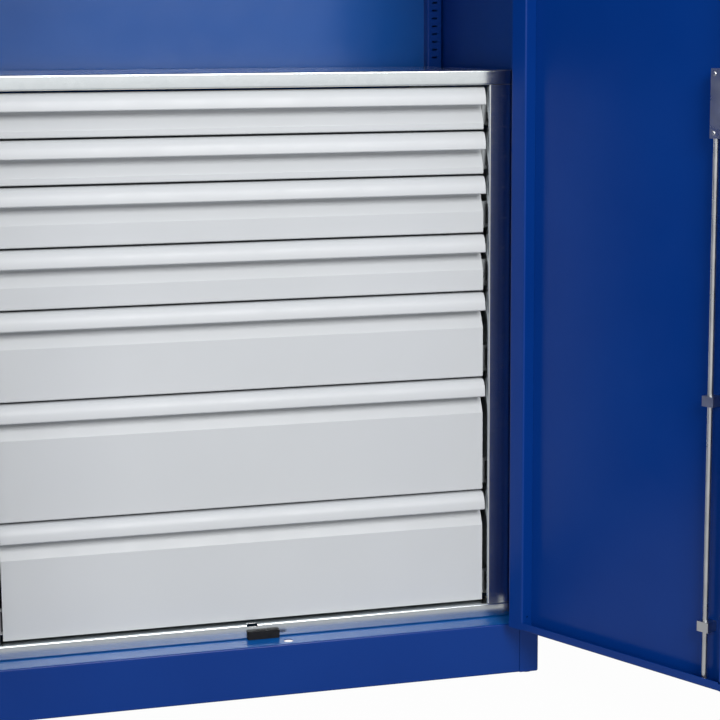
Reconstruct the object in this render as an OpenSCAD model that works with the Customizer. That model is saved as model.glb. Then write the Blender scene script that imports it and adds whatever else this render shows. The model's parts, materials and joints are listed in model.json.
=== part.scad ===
// Heavy-duty storage cabinet with two hinged doors and a block of graded drawers.
// Millimetres. +X right, +Y to the rear, +Z up; the origin is on the floor, at the
// centre of the footprint. The doors are drawn swung open, the drawers are drawn shut.

/* [Carcass] */
// Overall width
cabinet_w = 1000; // [940:10:1200]
// Overall depth with the doors shut
cabinet_d = 580; // [540:10:700]
// Overall height above the floor
cabinet_h = 1950; // [1800:10:2200]
// Sheet thickness of carcass and doors
sheet_t = 1.5; // [1:0.1:2]
// Inside radius of a sheet bend
bend_r = 1.5; // [1:0.1:3]
// Width of a side panel's front flange
flange_w = 35; // [30:1:45]
// Depth of the jamb folded back from the front flange
jamb_d = 22; // [16:1:30]
// Width of a side panel's rear flange
rear_flange_w = 25; // [18:1:40]
// Width of a side panel's bottom flange
foot_flange_w = 60; // [50:1:80]
// Radius of the side panels' lower edges
foot_edge_r = 4; // [2:0.5:4]
// Height of the plinth below the door lip
plinth_h = 90; // [70:1:120]
// Height of the head rail above the doors
head_h = 40; // [30:1:60]
// Depth of the lip in front of the drawer block
lip_d = 44; // [42:1:60]
// Depth of the small return folds
return_d = 18; // [14:1:24]
// Clearance between fixed sheet parts
seat_gap = 0.5; // [0.3:0.1:1]

/* [Feet and floor anchors] */
// Height of a foot pad below the carcass
foot_h = 3; // [2:0.5:8]
// Diameter of a foot pad
foot_d = 24; // [18:1:26]
// Diameter of a foot's stem
stem_d = 8; // [6:1:10]
// Length of a foot's stem above the bottom flange
stem_l = 30; // [20:1:50]
// Diameter of a stem's nut across its corners
nut_d = 14; // [12:0.5:18]
// Height of a stem's nut
nut_h = 6.5; // [5:0.5:9]
// Distance of a foot from the front or rear plane
foot_inset = 18; // [16:1:24]
// Diameter of a floor anchor hole
anchor_d = 11; // [9:0.5:13]
// Distance between the front and rear anchor holes
anchor_spacing = 400; // [300:10:440]
// Distance of an anchor hole from the cabinet's side
anchor_inset = 30; // [25:1:40]

/* [Floor beams] */
// Distance between the two floor beams
beam_spacing = 420; // [300:10:600]
// Width of a floor beam
beam_w = 60; // [40:1:80]

/* [Shelves] */
// Width of an upright's slotted face
upright_w = 30; // [26:1:32]
// Depth of an upright
upright_d = 24; // [18:1:30]
// Distance between slots of an upright
slot_pitch = 15; // [12.5:0.5:25]
// Width of a slot
slot_w = 10; // [7:0.5:12]
// Height of a slot
slot_h = 3.5; // [3:0.1:5]
// Heights of the shelves as shares of the upper compartment
shelf_shares = [0.62, 0.82]; // [0.1:0.001:0.9]
// Height of a shelf's edge fold
shelf_edge_h = 30; // [20:1:40]
// Clearance round a shelf
shelf_gap = 2; // [1:0.5:4]
// Length of a shelf clip's tongue
clip_l = 22; // [16:1:30]
// Thickness of a shelf clip
clip_t = 2; // [1.5:0.1:3]

/* [Doors] */
// Thickness of a door
door_t = 26; // [24:1:30]
// Gap round a door
door_gap = 2; // [1.5:0.1:3]
// Opening angle of the doors as drawn
door_open = 118; // [90:1:150]
// Width of the box section on the hinge side
hinge_box_w = 32; // [24:1:40]
// Width of the return lip on the free side
free_lip_w = 20; // [16:1:24]
// Height of the return lips at top and bottom
end_lip_h = 14; // [10:1:20]
// Diameter of a corner relief hole
relief_d = 5; // [3:0.5:7]
// Diameter of a drain hole in the hinge-side box section
drain_d = 4; // [3:0.5:6]
// Height of a drain hole above the end lip
drain_h = 8; // [5:0.5:15]
// How far the overlap strip reaches behind the other door
overlap_reach = 46; // [30:1:50]
// Width of the overlap strip on its own door
overlap_seat = 24; // [18:1:30]

/* [Hinges] */
// Diameter of a hinge barrel
barrel_d = 10; // [9:0.5:11]
// Diameter of a hinge pin
pin_d = 6; // [5:0.5:7]
// Running clearance between pin and door knuckle, on the radius
pin_gap = 0.05; // [0.02:0.01:0.1]
// Least length of one knuckle
knuckle_h = 50; // [30:1:80]
// Gap between the knuckles of a hinge
knuckle_gap = 0.6; // [0.4:0.1:1]
// Width of a hinge leaf from the hinge line
leaf_w = 20; // [14:1:28]
// Thickness of a hinge leaf
leaf_t = 2; // [1.5:0.1:2.3]
// Distance of a hinge's ends from its door's ends
hinge_end = 20; // [10:1:60]
// Clearance between a barrel and the front plane
barrel_gap = 0.5; // [0.4:0.1:1]

/* [Drawer block] */
// Heights of the drawers from the top one down
drawer_heights = [75, 75, 100, 100, 150, 200, 200]; // [75:25:300]
// Gap between drawer fronts
drawer_gap = 3.5; // [3:0.1:5]
// Height of the rails above and below the drawers
rail_h = 25; // [20:1:35]
// Sheet thickness of the block
block_t = 1.5; // [1:0.1:2]
// Width of a front post
post_w = 42; // [34:1:50]
// Depth of a post's return fold
post_return = 30; // [24:1:40]
// Gap between the block and the jambs
block_gap = 2.5; // [2:0.1:4]
// Gap between a drawer front and a post
front_gap = 5.5; // [5:0.1:9]
// Width of the notch in the lower rail
notch_w = 19; // [12:1:24]
// Height of the notch in the lower rail
notch_h = 4; // [3:0.5:6]

/* [Drawers] */
// Sheet thickness of fronts and trays
drawer_t = 1.2; // [1:0.1:1.5]
// How far the flat front lies behind the block's front
front_set = 13; // [11:0.5:18]
// How far the grip stands out of the flat front
grip_out = 14; // [10:0.5:16]
// Height of the grip
grip_h = 29; // [24:0.5:32]
// Bend radius of the grip's upper edge
grip_r = 10; // [7:0.5:11]
// Bend radius of the grip's crowned face
grip_face_r = 32; // [24:1:34]
// Slope of the grip where its two bends meet
grip_slope = 50; // [45:1:56]
// Depth of the grip's lower fold
grip_fold = 7; // [5:0.5:9]
// How far the finger recess lies behind the flat front
recess_in = 13; // [10:0.5:16]
// Distance from a front's top to the deepest line of its recess
recess_drop = 35; // [33:0.5:40]
// Distance from a front's top to the crease below its recess
crease_drop = 60; // [50:0.5:64]
// Clearance behind a tray
tray_rear_gap = 13.3; // [10:0.1:40]
// How much lower than its drawer a tray is
tray_drop = 22; // [18:1:30]
// Height of a tray's floor above its drawer's lower line
tray_floor = 6; // [5:0.5:10]
// Width of the fold along a tray's top edges
tray_lip = 9; // [6:0.5:12]

/* [Runners] */
// Height of a runner
runner_h = 45; // [40:1:48]
// Thickness of a runner across its three rails
runner_w = 13; // [12:0.5:15]
// Sheet thickness of the rails
runner_t = 1.5; // [1.2:0.1:1.8]
// Clearance between the rails of a runner
runner_gap = 0.4; // [0.3:0.1:0.6]
// Height of a runner above its drawer's lower line
runner_lift = 9; // [8:0.5:14]
// Setback of the rails behind the tray's front
runner_set = 2; // [1:0.5:5]

/* [Door buffer] */
// Width of the buffer
buffer_w = 55; // [40:1:70]
// Depth of the buffer
buffer_d = 7.5; // [6:0.5:9]
// Height of the buffer
buffer_h = 14.5; // [10:0.5:18]
// Place of the buffer's middle beside the cabinet's middle
buffer_x = 18.5; // [15:0.5:24]
// Radius of the buffer's edges
buffer_r = 2; // [1:0.5:4]

/* [Lock] */
// Height of the lock's spindle above the floor
lock_z = 1000; // [900:10:1100]
// Diameter of a lock rod
rod_d = 9; // [8:0.5:9]
// Place of the lower rod beside the cabinet's middle
rod_x = 57; // [54:1:64]
// Depth of the rods behind the front plane
rod_y = 16; // [15:0.5:16.5]
// Depth of the rod holes behind the front plane
rod_hole_y = 18; // [16:0.5:19]
// Diameter of the rod holes in the lips
rod_hole_d = 16; // [14:0.5:20]
// Clearance round a rod in its guides, on the radius
rod_gap = 0.4; // [0.3:0.1:0.8]
// Gap between a rod's end and the lip when unlocked
rod_end_gap = 3; // [1:0.5:4]
// Teeth of the pinion
pinion_teeth = 13; // [11:1:15]
// Module of the teeth
tooth_module = 1.5; // [1.2:0.1:1.6]
// Pressure angle of the teeth
pressure_angle = 30; // [28:1:32]
// Play between the teeth along the pitch line
tooth_play = 0.4; // [0.3:0.05:0.5]
// Width of the teeth
tooth_w = 8; // [6:0.5:9]
// Diameter of the spindle
spindle_d = 10; // [8:0.5:11]
// Half height of the lock case
case_h = 52; // [48:1:60]
// Wall of the lock case
case_t = 1.5; // [1.2:0.1:2]
// Clearance inside the lock case
case_gap = 1; // [0.6:0.1:1.5]
// Clearance round the spindle
spindle_gap = 0.4; // [0.3:0.1:0.8]
// Width of a rod guide
guide_w = 21; // [18:1:26]
// Height of a rod guide
guide_h = 16; // [12:1:24]
// Distance of the outer rod guides from the door's ends
guide_inset = 95; // [60:1:150]

/* [Handle] */
// Width of the handle plate
plate_w = 36; // [32:1:44]
// Height of the handle plate
plate_h = 150; // [120:1:180]
// Thickness of the handle plate
plate_t = 5; // [4:0.5:8]
// Diameter of the handle's hub
hub_d = 26; // [22:0.5:28]
// Length of the hub in front of the door
hub_l = 30; // [26:1:40]
// Length of the lever from the spindle
lever_l = 112; // [90:1:130]
// Diameter of the lever at its hub
lever_d = 16; // [12:0.5:18]
// Diameter of the lever's rounded end
lever_end_d = 13; // [10:0.5:16]
// Diameter of the key barrel
barrel_key_d = 15; // [12:0.5:17]
// Depth of the key barrel in the hub
barrel_key_l = 14; // [10:0.5:16]
// Length of the key slot
key_slot_l = 9; // [7:0.5:10]
// Width of the key slot
key_slot_w = 2; // [1.5:0.1:2.5]

/* [Hidden] */
$fn = 48;
sides = [-1, 1];
half_w = cabinet_w / 2;
front_y = -cabinet_d / 2;
rear_y = cabinet_d / 2;
floor_z = foot_h + plinth_h;
head_z = cabinet_h - head_h;
seam_x = half_w - flange_w;
wall_x = half_w - sheet_t;
back_y = rear_y - 2 * sheet_t;
mid_r = bend_r + sheet_t / 2;
bend_step = 22.5;
grip_step = 11.25;

// Drawer block places
block_x = seam_x - block_gap;
post_x = block_x - post_w;
block_front = front_y + lip_d;
block_rear = back_y - upright_d - seat_gap;
drawer_count = len(drawer_heights);
function height_below(k) = k >= drawer_count ? 0 : drawer_heights[k] + height_below(k + 1);
stack_z = floor_z + rail_h + drawer_gap / 2;
function drawer_z(k) = stack_z + height_below(k + 1);
block_z = stack_z + height_below(0) + drawer_gap / 2 + rail_h;
block_mid_r = bend_r + block_t / 2;

// Drawer places
flat_y = block_front + front_set;
front_x = post_x - front_gap;
tray_y = flat_y + recess_in + drawer_t;
tray_x = post_x - runner_w;
tray_l = block_rear - tray_rear_gap - tray_y;
drawer_mid_r = bend_r + drawer_t / 2;
grip_bends = grip_r * tan(grip_slope / 2) + grip_face_r * tan(45 - grip_slope / 2);
grip_chord = grip_bends + drawer_t / 2;
rail_y = tray_y + runner_set;
rail_l = tray_l - runner_set;

// Shelf places
slots_z = block_z + slot_pitch;
slot_count = floor((cabinet_h - head_h - slots_z) / slot_pitch);
upright_x = wall_x - shelf_gap - upright_w / 2;
upright_front = front_y + lip_d + seat_gap;
shelf_front = upright_front + upright_d + shelf_gap;
shelf_rear = back_y - upright_d - shelf_gap;
function shelf_slot(i) = ceil(shelf_shares[i] * slot_count);
function shelf_z(i) = slots_z + shelf_slot(i) * slot_pitch + shelf_edge_h;

// Door and hinge places
door_bottom = floor_z + door_gap;
door_top = head_z - door_gap;
door_h = door_top - door_bottom;
door_edge = seam_x - door_gap;
door_inner = front_y + door_t;
hinge_x = seam_x - door_gap / 2;
hinge_y = front_y - barrel_gap - barrel_d / 2;
hinge_z = door_bottom + hinge_end;
hinge_l = door_h - 2 * hinge_end;
knuckle_count = 2 * floor(hinge_l / 2 / knuckle_h);
knuckle_pitch = hinge_l / knuckle_count;

// Lock places
pitch_r = tooth_module * pinion_teeth / 2;
base_r = pitch_r * cos(pressure_angle);
addendum = 0.8 * tooth_module;
dedendum = tooth_module;
tooth_pitch = PI * tooth_module;
rod_offset = pitch_r + dedendum + rod_d / 2;
lock_x = rod_x - rod_offset;
upper_rod_x = lock_x - rod_offset;
rod_line = front_y + rod_y;
rod_travel = pitch_r * PI / 2;
rack_l = rod_travel + 3 * tooth_pitch;
rack_start = -3 / 2 * tooth_pitch;
// Tooth phase that puts a tooth space level with the spindle
space_phase = ceil(rack_start / tooth_pitch) - rack_start / tooth_pitch + 1 / 2;
case_w = rod_offset + rod_d / 2 + case_gap + case_t;
case_rear = door_inner - sheet_t - case_gap;

// Folded sheets: a path of [x, y, bend radius] corners, walked along the sheet's middle
function unit(v) = v / norm(v);
function left_of(v) = [-v.y, v.x];
function turned(v, a) = [v.x * cos(a) - v.y * sin(a), v.x * sin(a) + v.y * cos(a)];
function flat2(p) = [p.x, p.y];
function bend(a, b, c, step) =
    let (u = unit(flat2(b) - flat2(a)))
    let (v = unit(flat2(c) - flat2(b)))
    let (angle = atan2(u.x * v.y - u.y * v.x, u * v))
    let (side = sign(angle) * b.z)
    let (start = flat2(b) - u * b.z * tan(abs(angle) / 2))
    let (centre = start + left_of(u) * side)
    let (steps = max(1, ceil(abs(angle) / step)))
    [for (i = [0:steps])
        [centre - turned(left_of(u), angle * i / steps) * side, turned(u, angle * i / steps)]];
function spine(path, step) =
    let (last = len(path) - 1)
    concat(
        [[flat2(path[0]), unit(flat2(path[1]) - flat2(path[0]))]],
        [for (i = [1:1:last - 1]) each bend(path[i - 1], path[i], path[i + 1], step)],
        [[flat2(path[last]), unit(flat2(path[last]) - flat2(path[last - 1]))]]
    );
function sheet_outline(path, t, step) =
    let (line = spine(path, step))
    let (count = len(line))
    concat(
        [for (s = line) s[0] + left_of(s[1]) * t / 2],
        [for (i = [count - 1:-1:0]) line[i][0] - left_of(line[i][1]) * t / 2]
    );

module folded(path, t = sheet_t, step = bend_step) {
    polygon(sheet_outline(path, t, step));
}

// Extrusions along each axis, and a box between two corners
module along_x(x0, x1) {
    translate([x0, 0, 0]) rotate([90, 0, 90]) linear_extrude(x1 - x0) children();
}
module along_y(y0, y1) {
    translate([0, y1, 0]) rotate([90, 0, 0]) linear_extrude(y1 - y0) children();
}
module along_z(z0, z1) {
    translate([0, 0, z0]) linear_extrude(z1 - z0) children();
}
module box(low, high) {
    translate(low) cube(high - low);
}
module hole_z(x, y, z, d, depth) {
    translate([x, y, z - depth / 2]) cylinder(d = d, h = depth);
}
module mirrored(side) {
    if (side < 0) mirror([1, 0, 0]) children();
    else children();
}

// Side panel: front flange with its jamb, wall, rear flange and bottom flange
module foot_edge() {
    r = foot_edge_r;
    translate([half_w - r, 0, foot_h + r]) along_y(front_y - r, rear_y + r) difference() {
        translate([0, -2 * r]) square(2 * r);
        circle(r = r);
    }
}
module side_panel(side) {
    inner_x = half_w - sheet_t / 2;
    jamb_x = seam_x + sheet_t / 2;
    path = [
        [jamb_x, front_y + jamb_d, 0],
        [jamb_x, front_y + sheet_t / 2, mid_r],
        [inner_x, front_y + sheet_t / 2, mid_r],
        [inner_x, rear_y - sheet_t / 2, mid_r],
        [half_w - rear_flange_w, rear_y - sheet_t / 2, 0]
    ];
    low = [half_w - foot_flange_w, front_y + jamb_d + seat_gap, foot_h];
    high = [half_w - sheet_t / 2, back_y - seat_gap, foot_h + sheet_t];
    corner_low = [seam_x + sheet_t + seat_gap, front_y + sheet_t / 2, foot_h];
    corner_high = [half_w - sheet_t / 2, front_y + jamb_d + 2 * seat_gap, foot_h + sheet_t];
    color("midnightblue") mirrored(side) difference() {
        union() {
            along_z(foot_h, cabinet_h - sheet_t) folded(path);
            box(low, high);
            box(corner_low, corner_high);
        }
        for (y = [-anchor_spacing / 2, anchor_spacing / 2])
            hole_z(half_w - anchor_inset, y, foot_h, anchor_d, 4 * sheet_t);
        for (end = sides)
            hole_z(foot_x(), end * (rear_y - foot_inset), foot_h, stem_d, 4 * sheet_t);
        foot_edge();
    }
}
function foot_x() = half_w - flange_w / 2;

// Rear panel: flat sheet welded inside the rear flanges
module rear_panel() {
    edge_x = wall_x - bend_r - seat_gap;
    low = [-edge_x, back_y, foot_h];
    high = [edge_x, back_y + sheet_t, cabinet_h - sheet_t];
    color("midnightblue") box(low, high);
}

// Base pan: floor sheet, door lip and plinth front folded from one sheet
module base_pan() {
    lip_z = floor_z - sheet_t / 2;
    plinth_y = front_y + sheet_t / 2;
    rear_fold_y = back_y - seat_gap - sheet_t / 2;
    path = [
        [front_y + return_d, foot_h + sheet_t / 2, 0],
        [plinth_y, foot_h + sheet_t / 2, mid_r],
        [plinth_y, lip_z, mid_r],
        [rear_fold_y, lip_z, mid_r],
        [rear_fold_y, foot_h + foot_flange_w / 2, 0]
    ];
    low = [-wall_x + seat_gap, front_y + jamb_d + seat_gap, floor_z - sheet_t];
    high = [wall_x - seat_gap, rear_fold_y, floor_z];
    color("royalblue") difference() {
        union() {
            along_x(-seam_x + seat_gap, seam_x - seat_gap) folded(path);
            box(low, high);
        }
        hole_z(rod_x, front_y + rod_hole_y, floor_z, rod_hole_d, 4 * sheet_t);
        for (side = sides)
            hole_z(side * (seam_x - relief_d), front_y + jamb_d, floor_z, relief_d, 4 * sheet_t);
    }
}

// Top panel: roof sheet, head rail and upper door lip folded from one sheet
module top_panel() {
    roof_z = cabinet_h - sheet_t / 2;
    head_y = front_y + sheet_t / 2;
    rear_fold_y = back_y - seat_gap - sheet_t / 2;
    path = [
        [front_y + lip_d, head_z + sheet_t / 2, 0],
        [head_y, head_z + sheet_t / 2, mid_r],
        [head_y, roof_z, mid_r],
        [rear_fold_y, roof_z, mid_r],
        [rear_fold_y, cabinet_h - head_h / 2, 0]
    ];
    low = [-half_w, front_y + mid_r + sheet_t / 2, cabinet_h - sheet_t];
    high = [half_w, rear_y, cabinet_h];
    corner_low = [seam_x - seat_gap, front_y, cabinet_h - sheet_t];
    corner_high = [half_w, 0, cabinet_h];
    color("midnightblue") difference() {
        union() {
            along_x(-seam_x + seat_gap, seam_x - seat_gap) folded(path);
            box(low, high);
            for (side = sides) mirrored(side) box(corner_low, corner_high);
        }
        hole_z(upper_rod_x, front_y + rod_hole_y, head_z, rod_hole_d, 4 * sheet_t);
    }
}

// Floor beams: channels that carry the base pan on the floor line
module floor_beams() {
    top = floor_z - sheet_t;
    path = [
        [-beam_w / 2, foot_h, 0],
        [-beam_w / 2 + sheet_t / 2, top - sheet_t / 2, mid_r],
        [beam_w / 2 - sheet_t / 2, top - sheet_t / 2, mid_r],
        [beam_w / 2, foot_h, 0]
    ];
    color("royalblue") for (side = sides)
        translate([side * beam_spacing / 2, 0, 0])
            along_y(front_y + return_d + seat_gap, back_y - sheet_t - bend_r - 2 * seat_gap)
                folded(path);
}

// Levelling feet: a pad, a stem and its nut in each corner
module levelling_foot() {
    nut_z = foot_h + sheet_t;
    cylinder(d = foot_d, h = foot_h);
    cylinder(d = stem_d, h = nut_z + stem_l);
    translate([0, 0, nut_z]) cylinder(d = nut_d, h = nut_h, $fn = 6);
}
module levelling_feet() {
    color("dimgray") for (side = sides, end = sides)
        translate([side * foot_x(), end * (rear_y - foot_inset), 0]) levelling_foot();
}

// Shelf uprights: slotted channels in the four inner corners
module upright() {
    t = sheet_t;
    half = upright_w / 2 - t / 2;
    path = [
        [-half, upright_d, 0],
        [-half, t / 2, mid_r],
        [half, t / 2, mid_r],
        [half, upright_d, 0]
    ];
    slot = [slot_w, 4 * t, slot_h];
    difference() {
        along_z(floor_z, cabinet_h - sheet_t) folded(path);
        for (i = [0:slot_count - 1])
            translate([-slot_w / 2, -t, slots_z + i * slot_pitch]) cube(slot);
    }
}
module shelf_uprights() {
    color("midnightblue") for (side = sides) {
        translate([side * upright_x, back_y - upright_d, 0]) upright();
        translate([side * upright_x, upright_front + upright_d, 0]) mirror([0, 1, 0]) upright();
    }
}

// Shelf: sheet with its front and rear edges folded down and back
module shelf(i) {
    z = shelf_z(i);
    x = wall_x - shelf_gap;
    path = [
        [shelf_front + return_d, z - shelf_edge_h + sheet_t / 2, 0],
        [shelf_front + sheet_t / 2, z - shelf_edge_h + sheet_t / 2, mid_r],
        [shelf_front + sheet_t / 2, z - sheet_t / 2, mid_r],
        [shelf_rear - sheet_t / 2, z - sheet_t / 2, mid_r],
        [shelf_rear - sheet_t / 2, z - shelf_edge_h + sheet_t / 2, mid_r],
        [shelf_rear - return_d, z - shelf_edge_h + sheet_t / 2, 0]
    ];
    color("midnightblue") along_x(-x, x) folded(path);
}

// Shelf clips: angle brackets hooked into the slots under each shelf corner
module shelf_clip() {
    peg_h = slot_h - seat_gap;
    plate_h = slot_pitch + peg_h;
    translate([-slot_w, -clip_l, -clip_t]) cube([2 * slot_w, clip_l, clip_t]);
    translate([-slot_w, -clip_t, -plate_h]) cube([2 * slot_w, clip_t, plate_h]);
    translate([-slot_w / 2 + seat_gap / 2, -clip_t, -slot_pitch])
        cube([slot_w - seat_gap, clip_t + 2 * sheet_t, peg_h]);
}
module shelf_clips() {
    color("silver") for (i = [0:len(shelf_shares) - 1], side = sides) {
        z = shelf_z(i) - shelf_edge_h;
        translate([side * upright_x, back_y - upright_d, z]) shelf_clip();
        translate([side * upright_x, upright_front + upright_d, z]) mirror([0, 1, 0]) shelf_clip();
    }
}

// Drawer block side: front post, wall and rear post folded from one sheet
module block_side(side) {
    t = block_t;
    post = post_x + t / 2;
    wall = block_x - t / 2;
    path = [
        [post, block_front + post_return, 0],
        [post, block_front + t / 2, block_mid_r],
        [wall, block_front + t / 2, block_mid_r],
        [wall, block_rear - t / 2, block_mid_r],
        [post, block_rear - t / 2, block_mid_r],
        [post, block_rear - post_return, 0]
    ];
    color("lightsteelblue") mirrored(side)
        along_z(floor_z + rail_h, block_z - rail_h) folded(path, t);
}

// Drawer block top: inverted tray whose front fold is the rail above the drawers
module block_top() {
    t = block_t;
    low_z = block_z - rail_h + t / 2;
    top_z = block_z - t / 2;
    rear = block_rear - t / 2;
    path = [
        [block_front + return_d, low_z, 0],
        [block_front + t / 2, low_z, block_mid_r],
        [block_front + t / 2, top_z, block_mid_r],
        [rear, top_z, block_mid_r],
        [rear, low_z, block_mid_r],
        [block_rear - return_d, low_z, 0]
    ];
    side_path = [
        [block_x - return_d, low_z, 0],
        [block_x - t / 2, low_z, block_mid_r],
        [block_x - t / 2, top_z, block_mid_r],
        [block_x - return_d, top_z, 0]
    ];
    color("lightsteelblue") {
        along_x(-block_x, block_x) folded(path, t);
        for (side = sides)
            mirrored(side) along_y(block_front + t, block_rear - t) folded(side_path, t);
    }
}

// Drawer block base rails: the front rail with its notch, and the rear rail
module base_rail(depth) {
    t = block_t;
    path = [
        [depth, t / 2, 0],
        [t / 2, t / 2, block_mid_r],
        [t / 2, rail_h - t / 2, block_mid_r],
        [depth, rail_h - t / 2, 0]
    ];
    along_x(-block_x, block_x) folded(path, t);
}
module block_base_rails() {
    notch = [notch_w, return_d, 2 * notch_h];
    color("lightsteelblue") {
        translate([0, block_front, floor_z]) difference() {
            base_rail(post_return);
            translate([-notch_w / 2, -return_d / 2, rail_h - notch_h]) cube(notch);
        }
        translate([0, block_rear, floor_z]) mirror([0, 1, 0]) base_rail(post_return);
    }
}

// Runner rails: channels nested in each other, the widest on the post
function rail_section(inset, web, flange) =
    let (z0 = inset + runner_t / 2)
    let (z1 = runner_h - inset - runner_t / 2)
    [[flange, z0, 0], [web, z0, runner_t], [web, z1, runner_t], [flange, z1, 0]];
rail_step = runner_t + runner_gap;
cabinet_rail = rail_section(0, post_x - runner_t / 2, tray_x + rail_step);
mid_rail = rail_section(rail_step, post_x - rail_step - runner_t / 2, tray_x + rail_step);
drawer_rail = rail_section(2 * rail_step, tray_x + runner_t / 2, post_x - 2 * rail_step);

module rail_pair(section, k) {
    for (side = sides)
        translate([0, 0, drawer_z(k) + runner_lift])
            mirrored(side) along_y(rail_y, rail_y + rail_l) folded(section, runner_t);
}
module cabinet_rails() {
    color("silver") for (k = [0:drawer_count - 1]) rail_pair(cabinet_rail, k);
}
module drawer_mid_rails(k) {
    color("gainsboro") rail_pair(mid_rail, k);
}
module drawer_rails(k) {
    color("silver") rail_pair(drawer_rail, k);
}

// Drawer front: one folded sheet with flat face, slanted recess and curved grip
module drawer_front(k) {
    t = drawer_t;
    low = drawer_z(k) + drawer_gap / 2;
    top = drawer_z(k) + drawer_heights[k] - drawer_gap / 2;
    back = tray_y - t / 2;
    nose = flat_y - grip_out + t / 2;
    path = [
        [tray_y, low + t / 2, 0],
        [flat_y + t / 2, low + t / 2, drawer_mid_r],
        [flat_y + t / 2, top - crease_drop, drawer_mid_r],
        [back, top - recess_drop, drawer_mid_r],
        [back, top - t / 2, drawer_mid_r],
        [nose + grip_chord * cos(grip_slope), top - t / 2, grip_r],
        [nose, top - t / 2 - grip_chord * sin(grip_slope), grip_face_r],
        [nose, top - grip_h, drawer_mid_r],
        [nose + grip_fold, top - grip_h, 0]
    ];
    color("lightgray") along_x(-front_x, front_x) folded(path, t, grip_step);
}

// Drawer tray: floor and sides folded from one sheet, with front and rear walls
module drawer_tray(k) {
    t = drawer_t;
    low = drawer_z(k) + tray_floor + t / 2;
    top = drawer_z(k) + drawer_heights[k] - tray_drop - t / 2;
    x = tray_x - t / 2;
    path = [
        [-x + tray_lip, top, 0],
        [-x, top, drawer_mid_r],
        [-x, low, drawer_mid_r],
        [x, low, drawer_mid_r],
        [x, top, drawer_mid_r],
        [x - tray_lip, top, 0]
    ];
    color("lightgray") {
        along_y(tray_y, tray_y + tray_l) folded(path, t);
        for (y = [tray_y, tray_y + tray_l - t])
            box([-x, y, low], [x, y + t, top + t / 2]);
    }
}

// Door buffer: rubber block on the lip, against the lower rail
module door_buffer() {
    y = block_front - buffer_d;
    color("black") translate([buffer_x, 0, 0]) along_z(floor_z, floor_z + buffer_h) {
        translate([-buffer_w / 2, y + buffer_r]) square([buffer_w, buffer_d - buffer_r]);
        translate([-buffer_w / 2 + buffer_r, y]) square([buffer_w - 2 * buffer_r, buffer_d]);
        for (side = sides)
            translate([side * (buffer_w / 2 - buffer_r), y + buffer_r]) circle(r = buffer_r);
    }
}

// Hinges: full-length leaves on the front faces, whose knuckles take turns on one long pin
module hinge_leaf(bore, first) {
    back = barrel_d / 2 + barrel_gap;
    length = knuckle_pitch - knuckle_gap;
    difference() {
        union() {
            translate([barrel_d / 2 + knuckle_gap, back - leaf_t, 0])
                cube([leaf_w - barrel_d / 2, leaf_t, hinge_l]);
            for (i = [first:2:knuckle_count - 1])
                translate([0, 0, i * knuckle_pitch + knuckle_gap / 2]) {
                    cylinder(d = barrel_d, h = length);
                    translate([0, back - leaf_t, 0]) cube([leaf_w / 2, leaf_t, length]);
                }
        }
        translate([0, 0, -knuckle_gap]) cylinder(d = bore, h = hinge_l + 2 * knuckle_gap);
    }
}
module hinge_leaves() {
    color("midnightblue") for (side = sides)
        mirrored(side) translate([hinge_x, hinge_y, hinge_z]) hinge_leaf(pin_d, 0);
}
module hinge_pins() {
    color("silver") for (side = sides)
        translate([side * hinge_x, hinge_y, hinge_z]) cylinder(d = pin_d, h = hinge_l);
}
module door_leaf(side) {
    color("midnightblue") swung(side) mirrored(side) translate([hinge_x, hinge_y, hinge_z])
        mirror([1, 0, 0]) hinge_leaf(pin_d + 2 * pin_gap, 1);
}

// A piece drawn on a shut door is swung open about that door's hinge line
module swung(side) {
    translate([side * hinge_x, hinge_y, 0])
        rotate([0, 0, side * door_open])
            translate([-side * hinge_x, -hinge_y, 0]) children();
}

// Door pan: skin, edge walls and return lips, with corner reliefs between the lips
module door_pan() {
    t = sheet_t;
    hinge_wall = door_edge - t / 2;
    free_wall = door_gap / 2 + t / 2;
    skin_y = front_y + t / 2;
    lip_y = door_inner - t / 2;
    box_wall = door_edge - hinge_box_w + t / 2;
    path = [
        [box_wall, front_y + t + seat_gap, 0],
        [box_wall, lip_y, mid_r],
        [hinge_wall, lip_y, mid_r],
        [hinge_wall, skin_y, mid_r],
        [free_wall, skin_y, mid_r],
        [free_wall, lip_y, mid_r],
        [free_wall + free_lip_w, lip_y, 0]
    ];
    end_path = [
        [lip_y, door_bottom + end_lip_h, 0],
        [lip_y, door_bottom + t / 2, mid_r],
        [skin_y, door_bottom + t / 2, mid_r],
        [skin_y, door_bottom + end_lip_h, 0]
    ];
    ends = [door_bottom + end_lip_h, door_top - end_lip_h];
    drains = [ends[0] + drain_h, ends[1] - drain_h];
    difference() {
        union() {
            along_z(door_bottom + t / 2, door_top - t / 2) folded(path);
            for (end = [0, 1])
                translate([0, 0, end * (door_bottom + door_top)]) mirror([0, 0, end])
                    along_x(free_wall, hinge_wall) folded(end_path);
        }
        for (z = ends)
            translate([free_wall + free_lip_w, door_inner + t, z])
                rotate([90, 0, 0]) cylinder(d = relief_d, h = 3 * t);
        for (z = drains)
            translate([box_wall - 2 * t, front_y + door_t / 2, z])
                rotate([0, 90, 0]) cylinder(d = drain_d, h = 4 * t);
    }
}
module door_left() {
    color("midnightblue") swung(-1) mirrored(-1) door_pan();
}
module door_right() {
    hole_d = spindle_d + 2 * spindle_gap;
    color("midnightblue") swung(1) difference() {
        door_pan();
        hole_z(rod_x, rod_line, door_bottom, rod_d + 4 * rod_gap, 4 * sheet_t);
        hole_z(upper_rod_x, rod_line, door_top, rod_d + 4 * rod_gap, 4 * sheet_t);
        translate([lock_x, front_y + 2 * sheet_t, lock_z])
            rotate([90, 0, 0]) cylinder(d = hole_d, h = 4 * sheet_t);
    }
}

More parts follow.
